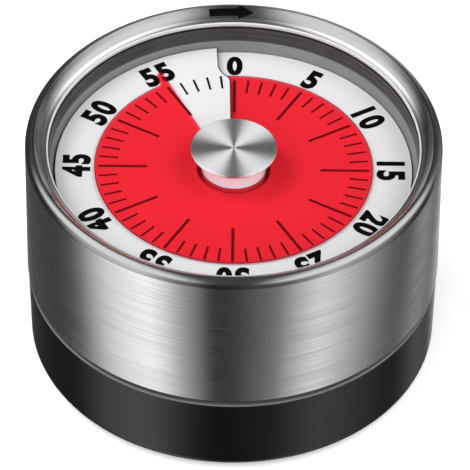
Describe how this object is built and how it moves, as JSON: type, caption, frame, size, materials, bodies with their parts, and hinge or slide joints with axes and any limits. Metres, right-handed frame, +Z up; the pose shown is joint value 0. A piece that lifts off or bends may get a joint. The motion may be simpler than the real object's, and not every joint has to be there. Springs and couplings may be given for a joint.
{
  "type": "mechanical countdown timer",
  "caption": "Round steel and black desk timer: a knob winds a red disc through the slit of a white minute dial, over a spring-driven movement with a bell.",
  "frame": {"origin": "middle of the face that the timer rests on", "axes": "+Z up along the winding arbor, +Y towards the dial's 0 mark, +X towards the 15 mark"},
  "size_m": [0.08, 0.08, 0.05],
  "materials": {
    "shell_steel": "brushed round its axis, with printed black winding arrow",
    "knob_steel": "turned, with fine concentric rings",
    "bezel_black": "satin black",
    "seat_grey": "smooth grey",
    "dial_white": "matt off-white with black print",
    "film_red": "translucent red film",
    "neck_white": "glossy white moulding",
    "base_black": "satin black, fine moulded grain",
    "carrier_black": "black moulding",
    "foot_rubber": "matt black rubber",
    "magnet_metal": "nickel-plated magnets",
    "cover_steel": "plain steel plate",
    "screw_steel": "zinc-plated steel screws",
    "brass": "satin brass",
    "movement_steel": "bright steel",
    "spring_steel": "blued spring steel"
  },
  "bodies": {
    "case": {"base_cup": "base_black", "steel_shell": "shell_steel", "inner_bezel": "bezel_black", "dial_seat_ring": "seat_grey", "dial": "dial_white", "dial_carrier": "carrier_black", "foot_ring": "foot_rubber", "magnet_cover": "cover_steel", "holding_magnets": "magnet_metal", "cover_screw": "screw_steel", "case_screws": "screw_steel", "back_plate": "brass", "front_plate": "brass", "plate_pillars": "movement_steel", "pillar_screws": "screw_steel", "movement_screws": "screw_steel", "main_bushes": "brass", "train_bushes": "brass", "spring_post": "movement_steel", "mainspring": "spring_steel", "hairspring": "spring_steel", "hairspring_stud": "brass", "lever_post": "movement_steel", "lever_spring": "spring_steel", "bell": "movement_steel", "bell_post": "movement_steel", "bell_screw": "screw_steel", "hammer_post": "movement_steel", "hammer_spring": "spring_steel"},
    "winding_arbor": {"main_arbor": "movement_steel", "arbor_clip": "spring_steel", "arbor_hubs": "brass", "great_wheel": "brass", "ratchet_wheel": "movement_steel", "click_post": "movement_steel", "click_spring": "spring_steel", "alarm_cam": "brass", "disc_clamp": "brass", "knob_insert": "brass", "knob_neck": "neck_white", "knob_cap": "knob_steel"},
    "red_disc": {"red_disc": "film_red"},
    "click": {"click": "movement_steel"},
    "second_wheel": {"second_wheel": "brass", "second_arbor": "movement_steel", "star_wheel": "brass"},
    "third_wheel": {"third_wheel": "brass", "third_arbor": "movement_steel"},
    "escape_wheel": {"escape_wheel": "brass", "escape_arbor": "movement_steel"},
    "balance": {"balance_wheel": "brass", "balance_staff": "movement_steel", "pallet_fork": "movement_steel", "pallet_pins": "movement_steel", "hairspring_collet": "brass"},
    "alarm_lever": {"alarm_lever": "movement_steel"},
    "hammer": {"hammer_arm": "movement_steel", "hammer_head": "brass"}
  },
  "joints": [
    {"name": "winding", "type": "hinge", "parent": "case", "child": "winding_arbor", "pos_m": [0, 0, 0.045], "axis": [0, 0, -1], "range_deg": [-330, 30], "deforming": ["mainspring"]},
    {"name": "disc_travel", "type": "slide", "parent": "winding_arbor", "child": "red_disc", "axis": [0, 0, 1], "range_m": [-0.0012, 0.0002]},
    {"name": "click_lift", "type": "hinge", "parent": "winding_arbor", "child": "click", "pos_m": [-0.01034, -0.00376, 0.023], "axis": [0, 0, -1], "range_deg": [0, 12], "stiffness_Nm_per_rad": 0.0005, "springref_deg": -11.46, "deforming": ["click_spring"]},
    {"name": "second_turn", "type": "hinge", "parent": "case", "child": "second_wheel", "pos_m": [0.018, 0, 0.023], "axis": [0, 0, 1], "continuous": true},
    {"name": "third_turn", "type": "hinge", "parent": "case", "child": "third_wheel", "pos_m": [0.01335, 0.01278, 0.023], "axis": [0, 0, -1], "continuous": true},
    {"name": "escape_turn", "type": "hinge", "parent": "case", "child": "escape_wheel", "pos_m": [0.0045, 0.0202, 0.023], "axis": [0, 0, 1], "continuous": true},
    {"name": "balance_swing", "type": "hinge", "parent": "case", "child": "balance", "pos_m": [-0.00447, 0.02099, 0.023], "axis": [0, 0, 1], "range_deg": [-7, 7], "stiffness_Nm_per_rad": 0.00002, "deforming": ["hairspring"]},
    {"name": "lever_lift", "type": "hinge", "parent": "case", "child": "alarm_lever", "pos_m": [-0.017, -0.008, 0.0285], "axis": [0, 0, 1], "range_deg": [0, 6], "stiffness_Nm_per_rad": 0.001, "springref_deg": -11.46, "deforming": ["lever_spring"]},
    {"name": "hammer_strike", "type": "hinge", "parent": "case", "child": "hammer", "pos_m": [0.024, -0.014, 0.0134], "axis": [0, 0, -1], "range_deg": [-6, 5.5], "stiffness_Nm_per_rad": 0.002, "deforming": ["hammer_spring"]}
  ],
  "couplings": [
    {"joint": "disc_travel", "follows": "winding", "m_per_rad": 0.00019099},
    {"joint": "second_turn", "follows": "winding", "ratio": 8},
    {"joint": "third_turn", "follows": "winding", "ratio": 60},
    {"joint": "escape_turn", "follows": "winding", "ratio": 600}
  ]
}
